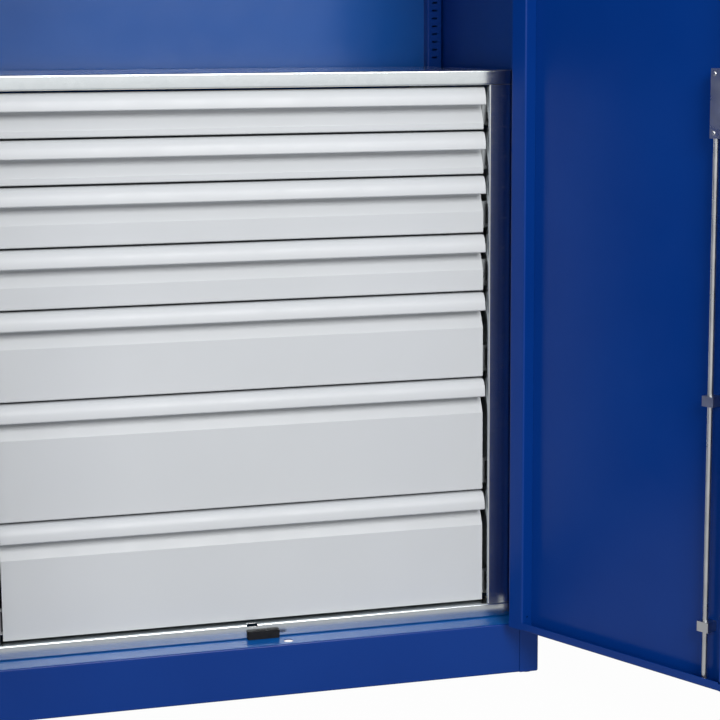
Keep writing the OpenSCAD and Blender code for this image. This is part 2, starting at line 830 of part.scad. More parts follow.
// Overlap strip: folded strip on the left door that laps behind the right one
module overlap_strip() {
    t = sheet_t;
    y = door_inner + seat_gap + t / 2;
    stop_y = block_front - buffer_d - 2 * seat_gap;
    path = [
        [-overlap_seat, y, 0],
        [overlap_reach - t / 2, y, mid_r],
        [overlap_reach - t / 2, stop_y, 0]
    ];
    seat_low = [-overlap_seat, door_inner, door_bottom + end_lip_h];
    seat_high = [-door_gap, y, door_top - end_lip_h];
    color("midnightblue") swung(-1) {
        along_z(door_bottom, door_top) folded(path);
        box(seat_low, seat_high);
    }
}

// Lock: pinion and racks with straight-sided rack teeth and involute pinion teeth
function involute(r) = r <= base_r ? 0 : sqrt(pow(r / base_r, 2) - 1) * 180 / PI - acos(base_r / r);
function half_tooth(r) =
    90 / pinion_teeth - tooth_play / 4 / pitch_r * 180 / PI + involute(pitch_r) - involute(r);
flank_steps = 6;
flank_radii = [for (i = [0:flank_steps]) pitch_r - dedendum + (addendum + dedendum) * i / flank_steps];
function at_angle(r, a) = [r * cos(a), r * sin(a)];
function pinion_outline() = [for (i = [0:pinion_teeth - 1])
    let (middle = i * 360 / pinion_teeth)
    each concat(
        [for (r = flank_radii) at_angle(r, middle - half_tooth(r))],
        [for (j = [flank_steps:-1:0]) at_angle(flank_radii[j], middle + half_tooth(flank_radii[j]))]
    )];

module lock_pinion() {
    front = front_y - hub_l / 2;
    tooth_front = rod_line - tooth_w / 2;
    tooth_rear = rod_line + tooth_w / 2;
    color("darkgray") swung(1) translate([lock_x, 0, lock_z]) {
        along_y(tooth_front, tooth_rear) polygon(pinion_outline());
        translate([0, tooth_front, 0]) rotate([90, 0, 0]) cylinder(d = spindle_d, h = tooth_front - front);
    }
}

// Rack bar in the lock's plane: teeth point to -x from the pitch line at x = 0
module rack(length, phase) {
    tip = tooth_pitch / 4 - tooth_play / 4 - addendum * tan(pressure_angle);
    root = tooth_pitch / 4 - tooth_play / 4 + dedendum * tan(pressure_angle);
    count = floor(length / tooth_pitch) - 1;
    translate([dedendum, 0]) square([rod_d, length]);
    for (i = [0:count - 1])
        translate([0, (i + phase) * tooth_pitch])
            polygon([[dedendum, -root], [-addendum, -tip], [-addendum, tip], [dedendum, root]]);
}
module rack_bar(y0, phase) {
    along_y(rod_line - tooth_w / 2, rod_line + tooth_w / 2)
        translate([pitch_r, y0]) rack(rack_l, phase);
}
module lock_rod_lower() {
    reach = lock_z + rack_start - (floor_z + rod_end_gap);
    color("silver") swung(1) translate([lock_x, 0, lock_z]) {
        rack_bar(rack_start, space_phase);
        translate([rod_offset, rod_line, rack_start - reach])
            cylinder(d = rod_d, h = reach + tooth_pitch);
    }
}
module lock_rod_upper() {
    reach = head_z - rod_end_gap - lock_z + rack_start;
    color("silver") swung(1) translate([lock_x, 0, lock_z]) {
        rotate([0, 180, 0]) rack_bar(rack_start, space_phase + 1 / 2);
        translate([-rod_offset, rod_line, -rack_start - tooth_pitch])
            cylinder(d = rod_d, h = reach + tooth_pitch);
    }
}

// Lock case: box on the door skin round the pinion and the rack ends
module lock_case() {
    front = front_y + sheet_t;
    case_low = [-case_w, front, -case_h];
    case_high = [case_w, case_rear, case_h];
    wall = [case_t, 0, case_t];
    color("gray") swung(1) translate([lock_x, 0, lock_z]) difference() {
        box(case_low, case_high);
        box(case_low + wall - [0, sheet_t, 0], case_high - wall - [0, case_t, 0]);
        for (side = sides)
            translate([side * rod_offset, rod_line, side * -case_h - 2 * case_t])
                cylinder(d = rod_d + 2 * rod_gap, h = 4 * case_t);
    }
}

// Rod guides: blocks on the door skin that hold the lock rods
module rod_guide(x, z) {
    low = [x - guide_w / 2, front_y + sheet_t, z - guide_h / 2];
    high = [x + guide_w / 2, case_rear, z + guide_h / 2];
    difference() {
        box(low, high);
        hole_z(x, rod_line, z, rod_d + 2 * rod_gap, 2 * guide_h);
    }
}
module rod_guides() {
    color("gray") swung(1) {
        for (z = [door_bottom + guide_inset, (door_bottom + lock_z) / 2]) rod_guide(rod_x, z);
        for (z = [door_top - guide_inset, (door_top + lock_z) / 2]) rod_guide(upper_rod_x, z);
    }
}

// Handle plate on the door's face
module handle_plate() {
    r = plate_w / 2;
    drop = plate_h - plate_w;
    color("black") swung(1) translate([lock_x, 0, lock_z]) difference() {
        along_y(front_y - plate_t, front_y) {
            circle(r = r);
            translate([0, -drop]) circle(r = r);
            translate([-r, -drop]) square([plate_w, drop]);
        }
        translate([0, front_y + plate_t, 0]) rotate([90, 0, 0])
            cylinder(d = hub_d + 2 * spindle_gap, h = 3 * plate_t);
    }
}

// Swivel handle: hub and tapered lever; the lever lies level when unlocked
module lever_half() {
    intersection() {
        union() {
            polygon([[0, 0], [lever_d / 2, 0], [lever_end_d / 2, lever_l], [0, lever_l]]);
            translate([0, lever_l]) circle(d = lever_end_d);
        }
        square([lever_d, lever_l + lever_end_d]);
    }
}
module swivel_handle() {
    hub_front = front_y - hub_l;
    lever_y = hub_front + lever_d / 2 + spindle_gap;
    color("black") swung(1) translate([lock_x, 0, lock_z]) difference() {
        union() {
            translate([0, front_y - spindle_gap, 0]) rotate([90, 0, 0])
                cylinder(d = hub_d, h = hub_l - spindle_gap);
            translate([0, lever_y, 0]) rotate([0, 90, 0]) rotate_extrude() lever_half();
        }
        translate([0, front_y + hub_l, 0]) rotate([90, 0, 0])
            cylinder(d = spindle_d, h = hub_l + hub_l / 2);
        translate([0, hub_front + barrel_key_l, 0]) rotate([90, 0, 0])
            cylinder(d = barrel_key_d, h = 2 * barrel_key_l);
    }
}

// Key barrel in the hub's face, with its key slot
module key_barrel() {
    face = front_y - hub_l;
    slot = [key_slot_w, 2 * key_slot_w, key_slot_l];
    color("silver") swung(1) translate([lock_x, 0, lock_z]) difference() {
        translate([0, face + barrel_key_l, 0]) rotate([90, 0, 0])
            cylinder(d = barrel_key_d, h = barrel_key_l);
        translate([-key_slot_w / 2, face - key_slot_w, -key_slot_l / 2]) cube(slot);
    }
}

side_panel(-1);  // side_panel_left
side_panel(1);  // side_panel_right
rear_panel();
top_panel();
base_pan();
floor_beams();
levelling_feet();
shelf_uprights();
shelf(0);  // shelf_lower
shelf(1);  // shelf_upper
shelf_clips();
block_side(-1);  // block_side_left
block_side(1);  // block_side_right
block_top();
block_base_rails();
cabinet_rails();
door_buffer();
hinge_leaves();
hinge_pins();
door_left();
door_leaf(-1);  // door_left_leaf
overlap_strip();
door_right();
door_leaf(1);  // door_right_leaf
handle_plate();
lock_case();
rod_guides();
lock_pinion();
swivel_handle();
key_barrel();
lock_rod_upper();
lock_rod_lower();
for (k = [0:drawer_count - 1]) {
    drawer_front(k);
    drawer_tray(k);
    drawer_rails(k);
    drawer_mid_rails(k);
}
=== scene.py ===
# %% [markdown]
# # A heavy-duty storage cabinet
# The cabinet's solids come from the imported CAD frame: every sheet, rail, rod and hinge already
# has its true place and its true motion. This lesson dresses that frame. Pieces whose edges or
# curves are seen close up are folded again here with finer bends, and every surface gets a finish.

import json
import math

import bmesh
import bpy
from mathutils import Matrix, Vector


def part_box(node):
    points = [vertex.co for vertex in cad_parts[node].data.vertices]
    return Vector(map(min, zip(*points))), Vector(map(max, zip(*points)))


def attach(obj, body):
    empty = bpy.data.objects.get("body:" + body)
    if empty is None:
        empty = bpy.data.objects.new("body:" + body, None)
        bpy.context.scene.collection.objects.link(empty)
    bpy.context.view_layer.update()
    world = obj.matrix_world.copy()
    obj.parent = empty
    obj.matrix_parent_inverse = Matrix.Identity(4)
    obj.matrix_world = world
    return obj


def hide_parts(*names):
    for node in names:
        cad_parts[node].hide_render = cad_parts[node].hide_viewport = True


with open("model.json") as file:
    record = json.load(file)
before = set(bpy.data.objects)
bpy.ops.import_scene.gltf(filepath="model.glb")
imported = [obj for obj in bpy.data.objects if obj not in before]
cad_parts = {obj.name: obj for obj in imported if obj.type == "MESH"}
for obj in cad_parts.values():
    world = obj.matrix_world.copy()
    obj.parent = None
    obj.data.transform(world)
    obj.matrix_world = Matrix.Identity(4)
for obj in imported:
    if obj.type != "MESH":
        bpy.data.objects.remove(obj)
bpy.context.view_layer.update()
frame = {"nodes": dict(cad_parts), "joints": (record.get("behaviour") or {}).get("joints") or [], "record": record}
nodes = frame["nodes"]
scene = bpy.context.scene
scene.view_settings.view_transform = "Standard"

# %% [markdown]
# ## Camera
# The picture looks at the lower right part of the open cabinet from the left, a little above the
# drawers. A long lens far away keeps the edges of the sheet metal nearly parallel, as they are in
# the picture. The place, the turn and the focal length were fitted to lines that can be measured:
# drawer gaps, the door lip, the plinth and the door's lower edge. Upright edges that stay upright
# call for a lens shift; only a small one is used, so that views from other sides stay framed.

# %% Camera
CAMERA_PLACE = Vector((-0.57733, -3.17219, 1.095))
CAMERA_YAW = math.radians(14.748)
CAMERA_PITCH = math.radians(8.820)
CAMERA_ROLL = math.radians(-0.406)
CAMERA_LENS = 91.02
CAMERA_SENSOR = 36.0
CAMERA_SHIFT = -0.05
CAMERA_REACH = 60.0

ahead = Vector((
    math.sin(CAMERA_YAW) * math.cos(CAMERA_PITCH),
    math.cos(CAMERA_YAW) * math.cos(CAMERA_PITCH),
    -math.sin(CAMERA_PITCH),
))
level_right = Vector((math.cos(CAMERA_YAW), -math.sin(CAMERA_YAW), 0.0))
level_up = level_right.cross(ahead)
right = level_right * math.cos(CAMERA_ROLL) + level_up * math.sin(CAMERA_ROLL)
up = level_up * math.cos(CAMERA_ROLL) - level_right * math.sin(CAMERA_ROLL)
turn = Matrix((right, up, -ahead)).transposed().to_4x4()

camera = bpy.data.objects.new("camera", bpy.data.cameras.new("camera"))
scene.collection.objects.link(camera)
camera.matrix_world = Matrix.Translation(CAMERA_PLACE) @ turn
camera.data.lens = CAMERA_LENS
camera.data.sensor_width = CAMERA_SENSOR
camera.data.shift_y = CAMERA_SHIFT
camera.data.clip_end = CAMERA_REACH
scene.camera = camera
print("camera looks along", tuple(round(c, 3) for c in ahead))

# %% [markdown]
# ## Studio
# A pale floor and a white surround, as in a catalogue studio. The surround is plain white for the
# camera and for reflections, and softer for the light it sheds, so that the sheet metal mirrors a
# bright room without being washed out. The light path tells which kind of ray asks. The floor does
# the same, and keeps a little of its own shade, so the cabinet's shadow stays on it.

# %% White for chosen rays
WHITE = (1.0, 1.0, 1.0, 1.0)


def ray_share(tree, kind, share):
    """A share of white for one kind of ray, and none for the others."""
    ray = tree.nodes.new("ShaderNodeLightPath")
    times = tree.nodes.new("ShaderNodeMath")
    times.operation = "MULTIPLY"
    times.inputs[1].default_value = share
    tree.links.new(ray.outputs[kind], times.inputs[0])
    return times.outputs[0]


def larger(tree, one, other):
    pick = tree.nodes.new("ShaderNodeMath")
    pick.operation = "MAXIMUM"
    tree.links.new(one, pick.inputs[0])
    tree.links.new(other, pick.inputs[1])
    return pick.outputs[0]


def seen_share(tree, by_camera, in_reflections):
    """How much white the camera sees, and how much of it shows in metal and through glass."""
    mirrored = ray_share(tree, "Is Glossy Ray", in_reflections)
    passed = ray_share(tree, "Is Transmission Ray", in_reflections)
    return larger(tree, ray_share(tree, "Is Camera Ray", by_camera), larger(tree, mirrored, passed))


def mixed(tree, share, first, second):
    mix = tree.nodes.new("ShaderNodeMixShader")
    tree.links.new(share, mix.inputs[0])
    tree.links.new(first.outputs[0], mix.inputs[1])
    tree.links.new(second.outputs[0], mix.inputs[2])
    return mix.outputs[0]


print("white is shared out to camera, mirrored and passing rays")

# %% Surround
SURROUND_SHED, SURROUND_SEEN = 0.4, 1.0


def surround(tree, strength):
    node = tree.nodes.new("ShaderNodeBackground")
    node.inputs["Color"].default_value = WHITE
    node.inputs["Strength"].default_value = strength
    return node


def studio_world():
    world = bpy.data.worlds.new("studio")
    scene.world = world
    world.use_nodes = True
    tree = world.node_tree
    tree.nodes.clear()
    shed = surround(tree, SURROUND_SHED)
    seen = surround(tree, SURROUND_SEEN)
    out = tree.nodes.new("ShaderNodeOutputWorld")
    tree.links.new(mixed(tree, seen_share(tree, 1.0, 1.0), shed, seen), out.inputs["Surface"])


studio_world()
print("surround: sheds", SURROUND_SHED, "and is seen at", SURROUND_SEEN)

# %% Floor
FLOOR_HALF = 14.0
FLOOR_GREY = (0.36, 0.36, 0.36, 1.0)
FLOOR_SEEN, FLOOR_MIRRORED = 0.98, 0.4


def floor_finish():
    material = bpy.data.materials.new("studio_floor")
    material.use_nodes = True
    tree = material.node_tree
    tree.nodes.clear()
    lit = tree.nodes.new("ShaderNodeBsdfDiffuse")
    lit.inputs["Color"].default_value = FLOOR_GREY
    white = tree.nodes.new("ShaderNodeEmission")
    white.inputs["Color"].default_value = WHITE
    white.inputs["Strength"].default_value = 1.0
    share = seen_share(tree, FLOOR_SEEN, FLOOR_MIRRORED)
    out = tree.nodes.new("ShaderNodeOutputMaterial")
    tree.links.new(mixed(tree, share, lit, white), out.inputs["Surface"])
    return material


def studio_floor():
    bm = bmesh.new()
    bmesh.ops.create_grid(bm, x_segments=1, y_segments=1, size=FLOOR_HALF)
    mesh = bpy.data.meshes.new("studio_floor")
    bm.to_mesh(mesh)
    bm.free()
    mesh.materials.append(floor_finish())
    floor = bpy.data.objects.new("studio_floor", mesh)
    scene.collection.objects.link(floor)


studio_floor()
print("floor:", 2 * FLOOR_HALF, "m wide")

# %% [markdown]
# ### Lamps
# The key lamp stands well in front and a little to the right, just high enough to mirror in the
# slanted faces of the lower drawers and to lay a short shadow under each grip. The side wall keeps
# it off the right end of the back wall, which is darker in the picture. A sun would do the same to
# all drawers; a near lamp fades towards the upper ones. A weak lamp above lifts the edges, and a
# wide one on the left fills the inside of the open door without showing in the metal.

# %% Lamps
def soft_lamp(name, place, target, size, watts):
    lamp = bpy.data.lights.new(name, "AREA")
    lamp.shape = "SQUARE"
    lamp.size = size
    lamp.energy = watts
    obj = bpy.data.objects.new(name, lamp)
    scene.collection.objects.link(obj)
    obj.location = place
    obj.rotation_euler = (Vector(target) - Vector(place)).to_track_quat("-Z", "Y").to_euler()
    print(name, size, "m,", watts, "W")
    return obj


soft_lamp("key_lamp", place=(0.65, -4.3, 2.85), target=(0.1, -0.25, 0.4), size=1.8, watts=130.0)
soft_lamp("top_lamp", place=(0.0, -1.3, 3.7), target=(0.0, -0.5, 0.0), size=2.0, watts=8.0)
fill_lamp = soft_lamp("fill_lamp", place=(-2.4, -4.6, 1.5), target=(0.3, -0.3, 0.8), size=2.4, watts=65.0)
fill_lamp.visible_glossy = False

# %% [markdown]
# ## Finishes
# A finish is a small network of nodes: noise in the piece's own coordinates varies the colour and
# the gloss a little, and a finer noise bumps the surface. A single flat colour would look like
# plastic film. These helpers keep each finish short.

# %% Helpers for finishes
NOISE_SPAN = (0.35, 0.65)


def start_finish(name):
    material = bpy.data.materials.new(name)
    material.use_nodes = True
    tree = material.node_tree
    shader = tree.nodes["Principled BSDF"]
    place = tree.nodes.new("ShaderNodeTexCoord").outputs["Object"]
    return material, tree, shader, place


def grain(tree, place, scale, detail, stretch=(1.0, 1.0, 1.0)):
    mapping = tree.nodes.new("ShaderNodeMapping")
    mapping.inputs["Scale"].default_value = stretch
    tree.links.new(place, mapping.inputs["Vector"])
    noise = tree.nodes.new("ShaderNodeTexNoise")
    noise.inputs["Scale"].default_value = scale
    noise.inputs["Detail"].default_value = detail
    tree.links.new(mapping.outputs["Vector"], noise.inputs["Vector"])
    return noise.outputs["Fac"]


def between(tree, amount, low, high):
    ramp = tree.nodes.new("ShaderNodeMapRange")
    ramp.inputs["From Min"].default_value = NOISE_SPAN[0]
    ramp.inputs["From Max"].default_value = NOISE_SPAN[1]
    ramp.inputs["To Min"].default_value = low
    ramp.inputs["To Max"].default_value = high
    tree.links.new(amount, ramp.inputs["Value"])
    return ramp.outputs["Result"]


def tint(tree, amount, dark, light, span=NOISE_SPAN):
    ramp = tree.nodes.new("ShaderNodeValToRGB")
    ramp.color_ramp.elements[0].position = span[0]
    ramp.color_ramp.elements[0].color = (*dark, 1.0)
    ramp.color_ramp.elements[1].position = span[1]
    ramp.color_ramp.elements[1].color = (*light, 1.0)
    tree.links.new(amount, ramp.inputs["Fac"])
    return ramp.outputs["Color"]


def relief(tree, shader, height, strength, distance):
    bump = tree.nodes.new("ShaderNodeBump")
    bump.inputs["Strength"].default_value = strength
    bump.inputs["Distance"].default_value = distance
    tree.links.new(height, bump.inputs["Height"])
    tree.links.new(bump.outputs["Normal"], shader.inputs["Normal"])


print("noise is spread from", NOISE_SPAN[0], "to", NOISE_SPAN[1])

# %% [markdown]
# ### Powder coat
# Carcass and doors are powder coated in a deep blue, the drawers in a light grey. Powder melts
# into a film with a faint orange peel of one or two millimetres and a satin gloss that wanders
# slightly. Three noises do that: a wide one for the tone, a smaller one for the gloss and a fine one
# for the peel. Two lighter blues are painted light: they stand for the light that bright metal throws
# on the back wall and on the top of the base pan.

# %% Powder coats
COAT_CLOUDS, COAT_PATCHES, COAT_PEEL = 3.5, 22.0, 620.0
BUMP_HEIGHT = 0.0003
BLUE_DARK, BLUE_LIGHT = (0.0010, 0.033, 0.216), (0.0015, 0.037, 0.232)
# Painted light: a lighter blue for the back wall's inner face, standing in for the light that zinc throws on it.
BACK_WALL_LIT_DARK, BACK_WALL_LIT_LIGHT = (0.0025, 0.073, 0.318), (0.0030, 0.079, 0.338)
# Painted light: a lighter blue for the top of the base pan, standing in for the light that falls on this up-facing
# strip.
LIT_LIP_DARK, LIT_LIP_LIGHT = (0.0025, 0.095, 0.355), (0.0030, 0.101, 0.375)
GREY_DARK, GREY_LIGHT = (0.588, 0.608, 0.621), (0.608, 0.628, 0.641)
BLUE_GLOSS, GREY_GLOSS = (0.23, 0.27), (0.36, 0.43)


def powder_coat(name, dark, light, gloss, sheen, peel):
    material, tree, shader, place = start_finish(name)
    cloud = grain(tree, place, COAT_CLOUDS, 3.0)
    tree.links.new(tint(tree, cloud, dark, light), shader.inputs["Base Color"])
    patches = grain(tree, place, COAT_PATCHES, 4.0)
    tree.links.new(between(tree, patches, *gloss), shader.inputs["Roughness"])
    shader.inputs["Specular IOR Level"].default_value = sheen
    relief(tree, shader, grain(tree, place, COAT_PEEL, 2.0), peel, BUMP_HEIGHT)
    return material


blue_coat = powder_coat("blue_powder_coat", BLUE_DARK, BLUE_LIGHT, BLUE_GLOSS, sheen=0.24, peel=0.02)
# Painted light on the back wall's inner face.
blue_lit_back_wall = powder_coat("blue_lit_back_wall_coat", BACK_WALL_LIT_DARK, BACK_WALL_LIT_LIGHT, BLUE_GLOSS, sheen=0.42, peel=0.02)
# Painted light on the top of the base pan.
blue_lit_lip = powder_coat("blue_lit_lip_coat", LIT_LIP_DARK, LIT_LIP_LIGHT, BLUE_GLOSS, sheen=0.12, peel=0.02)
grey_coat = powder_coat("grey_powder_coat", GREY_DARK, GREY_LIGHT, GREY_GLOSS, sheen=0.42, peel=0.03)
print("powder coats: three blues and a grey")

# %% [markdown]
# ### Bare metals
# The drawer block is bare zinc-coated sheet: a bright mirror-like skin with faint crystal flakes
# and fine rolling marks. Cells of a Voronoi pattern give the flakes, a noise stretched along the
# sheet gives the marks. Runners, rods and clips are zinc plated steel, duller and more even.

# %% Metals
ZINC_FLAKES, ZINC_MARKS, ZINC_BUMPS = 70.0, 40.0, 260.0
MARKS_STRETCH = (0.4, 0.4, 6.0)
ZINC_DARK, ZINC_LIGHT = (0.655, 0.695, 0.715), (0.68, 0.72, 0.738)
ZINC_GLOSS = (0.17, 0.21)
PLATING_CLOUDS, PLATING_PATCHES, PLATING_BUMPS = 25.0, 45.0, 400.0
PLATING_HEIGHT = 0.0001
METAL_BUMP = 0.02


def zinc_skin():
    material, tree, shader, place = start_finish("zinc_sheet")
    flakes = tree.nodes.new("ShaderNodeTexVoronoi")
    flakes.inputs["Scale"].default_value = ZINC_FLAKES
    tree.links.new(place, flakes.inputs["Vector"])
    split = tree.nodes.new("ShaderNodeSeparateColor")
    tree.links.new(flakes.outputs["Color"], split.inputs["Color"])
    tone = tint(tree, split.outputs[0], ZINC_DARK, ZINC_LIGHT, span=(0.0, 1.0))
    tree.links.new(tone, shader.inputs["Base Color"])
    marks = grain(tree, place, ZINC_MARKS, 3.0, MARKS_STRETCH)
    tree.links.new(between(tree, marks, *ZINC_GLOSS), shader.inputs["Roughness"])
    shader.inputs["Metallic"].default_value = 1.0
    relief(tree, shader, grain(tree, place, ZINC_BUMPS, 2.0), METAL_BUMP, BUMP_HEIGHT)
    return material


def plated_metal(name, dark, light, gloss):
    material, tree, shader, place = start_finish(name)
    cloud = grain(tree, place, PLATING_CLOUDS, 2.0)
    tree.links.new(tint(tree, cloud, dark, light), shader.inputs["Base Color"])
    patches = grain(tree, place, PLATING_PATCHES, 2.0)
    tree.links.new(between(tree, patches, *gloss), shader.inputs["Roughness"])
    shader.inputs["Metallic"].default_value = 1.0
    relief(tree, shader, grain(tree, place, PLATING_BUMPS, 1.0), METAL_BUMP, PLATING_HEIGHT)
    return material


zinc_sheet = zinc_skin()
plated_steel = plated_metal("plated_steel", (0.50, 0.51, 0.52), (0.60, 0.61, 0.62), gloss=(0.27, 0.33))
dark_steel = plated_metal("dark_steel", (0.035, 0.035, 0.038), (0.06, 0.06, 0.064), gloss=(0.4, 0.55))
chrome = plated_metal("chrome_barrel", (0.70, 0.71, 0.73), (0.76, 0.77, 0.78), gloss=(0.07, 0.12))
print("metals: zinc, plated steel, dark steel, chrome")

# %% [markdown]
# ### Rubber and grained plastic
# The door buffer is moulded rubber with a dull bloom; the handle is black plastic with a fine
# spark-eroded grain. Both come out of a mould, so one recipe serves: only grain and gloss differ.

# %% Rubber and plastic
MOULD_CLOUDS, MOULD_PATCHES = 90.0, 140.0
MOULD_SHEEN = 0.3
RUBBER_DARK, RUBBER_LIGHT = (0.004, 0.004, 0.0045), (0.007, 0.007, 0.008)
PLASTIC_DARK, PLASTIC_LIGHT = (0.010, 0.010, 0.011), (0.016, 0.016, 0.017)
RUBBER_GLOSS, PLASTIC_GLOSS = (0.6, 0.8), (0.38, 0.5)
RUBBER_GRAIN, PLASTIC_GRAIN = 1500.0, 2200.0


def moulded(name, dark, light, gloss, grain_scale, depth):
    material, tree, shader, place = start_finish(name)
    cloud = grain(tree, place, MOULD_CLOUDS, 3.0)
    tree.links.new(tint(tree, cloud, dark, light), shader.inputs["Base Color"])
    patches = grain(tree, place, MOULD_PATCHES, 2.0)
    tree.links.new(between(tree, patches, *gloss), shader.inputs["Roughness"])
    shader.inputs["Specular IOR Level"].default_value = MOULD_SHEEN
    relief(tree, shader, grain(tree, place, grain_scale, 3.0), depth, BUMP_HEIGHT)
    return material


black_rubber = moulded("black_rubber", RUBBER_DARK, RUBBER_LIGHT, RUBBER_GLOSS, RUBBER_GRAIN, depth=0.15)
black_plastic = moulded("black_plastic", PLASTIC_DARK, PLASTIC_LIGHT, PLASTIC_GLOSS, PLASTIC_GRAIN, depth=0.2)
print("mouldings: rubber and plastic")

# %% [markdown]
# ## Dressing the frame
# Every CAD node takes the finish of its record slot. Pieces that are folded anew below bring their
# own finish and hide the node that they stand for.

# %% Dress the CAD nodes
FINISH_OF_SLOT = {
    "blue_paint": blue_coat,
    "grey_paint": grey_coat,
    "zinc_sheet": zinc_sheet,
    "plated_steel": plated_steel,
    "dark_steel": dark_steel,
    "rubber": black_rubber,
    "black_plastic": black_plastic,
    "chrome": chrome,
}
subparts = frame["record"]["subparts"]
slot_of_node = {s["node"]: s["material_slot"] for s in subparts}
groups = frame["record"]["behaviour"]["bodies"]
body_of_node = {n: body for body, members in groups.items() for n in members}
finish_of_node = {name: FINISH_OF_SLOT[slot] for name, slot in slot_of_node.items()}
for node_name, node in nodes.items():
    node.data.materials.clear()
    node.data.materials.append(finish_of_node[node_name])
print("dressed", len(nodes), "nodes")

# %% [markdown]
# ## Folding sheet metal
# A folded sheet starts as a chain of edges: the section, corner by corner. The chain is pulled out
# to its length, its fold lines are bevelled to their bend radius, and the skin gets its gauge. That
# is how a press brake sees the part, and it keeps every bend a true arc with smooth normals. New
# pieces are drawn in millimetres and scaled to metres at the end.

# %% Fold
MM = 0.001
ARC_STEP = 0.9
ARC_LEAST = 6
RIM_ANGLE = math.radians(60.0)


def box_in_mm(node_name):
    low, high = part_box(node_name)
    return low / MM, high / MM


def fold(bm, section, start, end, gauge):
    """Folds a sheet across the width. A section's corner is (y, z, bend radius)."""
    before = set(bm.faces)
    chain = [bm.verts.new((start, y, z)) for y, z, radius in section]
    lines = [bm.edges.new(pair) for pair in zip(chain, chain[1:])]
    pulled = bmesh.ops.extrude_edge_only(bm, edges=lines)["geom"]
    far = [g for g in pulled if isinstance(g, bmesh.types.BMVert)]
    bmesh.ops.translate(bm, verts=far, vec=(end - start, 0.0, 0.0))
    for corner, (y, z, radius) in zip(chain[1:-1], section[1:-1]):
        crease = next(e for e in corner.link_edges if len(e.link_faces) == 2)
        bend = crease.calc_face_angle()
        steps = max(ARC_LEAST, math.ceil(radius * bend / ARC_STEP))
        bmesh.ops.bevel(bm, geom=[crease], offset=radius * math.tan(bend / 2), offset_type="OFFSET",
                        segments=steps, profile=0.5, affect="EDGES", material=-1)
    skin = [f for f in bm.faces if f not in before]
    bmesh.ops.solidify(bm, geom=skin, thickness=gauge)


def finish_mesh(bm, edge_round=0.0):
    bmesh.ops.recalc_face_normals(bm, faces=bm.faces[:])
    if edge_round > 0:
        rims = [e for e in bm.edges if len(e.link_faces) == 2 and e.calc_face_angle(0.0) > RIM_ANGLE]
        bmesh.ops.bevel(bm, geom=rims, offset=edge_round, offset_type="OFFSET", segments=2, profile=0.5,
                        affect="EDGES", material=-1, clamp_overlap=True)
    bmesh.ops.scale(bm, vec=(MM, MM, MM), verts=bm.verts[:])


print("bends are cut into steps of", ARC_STEP, "mm or", ARC_LEAST, "steps at least")

# %% [markdown]
# ## From mesh to piece
# Every piece ends the same way. Edges sharper than a limit stay crisp, all others are smoothed, and
# each corner's normal is weighted by the area of the faces around it, so that a wide flat isn't bent
# by the narrow faces of a fold. Then the piece rides on its body and hides the node it stands for.

# %% Make a piece
SHARP = math.radians(38.0)
remade = set()


def smooth_fan(loop):
    fan = [loop.face]
    for face in fan:
        for edge in face.edges:
            if edge.smooth and loop.vert in edge.verts:
                fan.extend(f for f in edge.link_faces if f not in fan)
    return fan


def weighted_normals(bm):
    bm.normal_update()
    areas = {face: face.calc_area() for face in bm.faces}
    normals = []
    for face in bm.faces:
        for loop in face.loops:
            total = Vector()
            for near in smooth_fan(loop):
                total += near.normal * areas[near]
            normals.append(total.normalized() if total.length > 0 else face.normal)
    return normals


def make_piece(name, bm, finish, slot, body, *replaced):
    for face in bm.faces:
        face.smooth = True
    for edge in bm.edges:
        edge.smooth = len(edge.link_faces) == 2 and edge.calc_face_angle(0.0) < SHARP
    bm.faces.index_update()
    normals = weighted_normals(bm)
    mesh = bpy.data.meshes.new(name)
    bm.to_mesh(mesh)
    bm.free()
    mesh.normals_split_custom_set(normals)
    mesh.materials.append(finish)
    piece = bpy.data.objects.new(name, mesh)
    scene.collection.objects.link(piece)
    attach(piece, body)
    if replaced:
        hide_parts(*replaced)
        remade.update(replaced)
    print(name, len(mesh.polygons), "faces")
    return piece


print("edges over", round(math.degrees(SHARP)), "degrees stay crisp")

# %% [markdown]
# ## Drawer fronts
# Each front is one sheet: a flat face, a slanted step back, the wall of the finger recess, a short
# ledge and the grip that rolls over it in three bends, tight at the top and nearly straight below.
# The CAD bends the grip in flat steps; here the same section is folded with true arcs, because the
# light along the grip is what the eye reads first. Place, width and height come from each CAD front.

# %% Drawer fronts
DRAWERS = [f"drawer_{k}" for k in range(1, 8)]
FRONT_SHEET = 1.2
FRONT_EDGE = 0.25
FLAT_DROP = 60.0
RECESS_DEPTH, RECESS_DROP = 13.0, 35.0
GRIP_REACH, GRIP_DROP = 14.0, 29.0
GRIP_BENDS = [(9.4, 90.0, 38.0), (28.0, 38.0, 14.0), (60.0, 14.0, 4.0)]
GRIP_STRIP = 0.5
GRIP_FOLD = 6.4
FOOT_BEND, SLANT_BEND, WALL_BEND, LEDGE_BEND, GRIP_FOLD_BEND = 2.7, 2.0, 3.0, 1.5, 1.0


def grip_line(nose, top, low):
    """Corners of the grip from its ledge down: a tight bend, a crown, and a nearly upright lower face."""
    reach = [r * math.tan(math.radians(start - end) / 2) for r, start, end in GRIP_BENDS]
    corners = []
    y, z = 0.0, top
    for i, (r, start, end) in enumerate(GRIP_BENDS):
        corners.append((y, z, r))
        tilt = math.radians(end)
        last = i + 1 == len(GRIP_BENDS)
        run = (z - low) / math.cos(tilt) if last else reach[i] + reach[i + 1] + GRIP_STRIP
        y -= run * math.sin(tilt)
        z -= run * math.cos(tilt)
    placed = [(cy + nose - y, cz, r) for cy, cz, r in corners]
    return placed + [(nose, low, GRIP_FOLD_BEND), (nose + GRIP_FOLD, low, 0)]


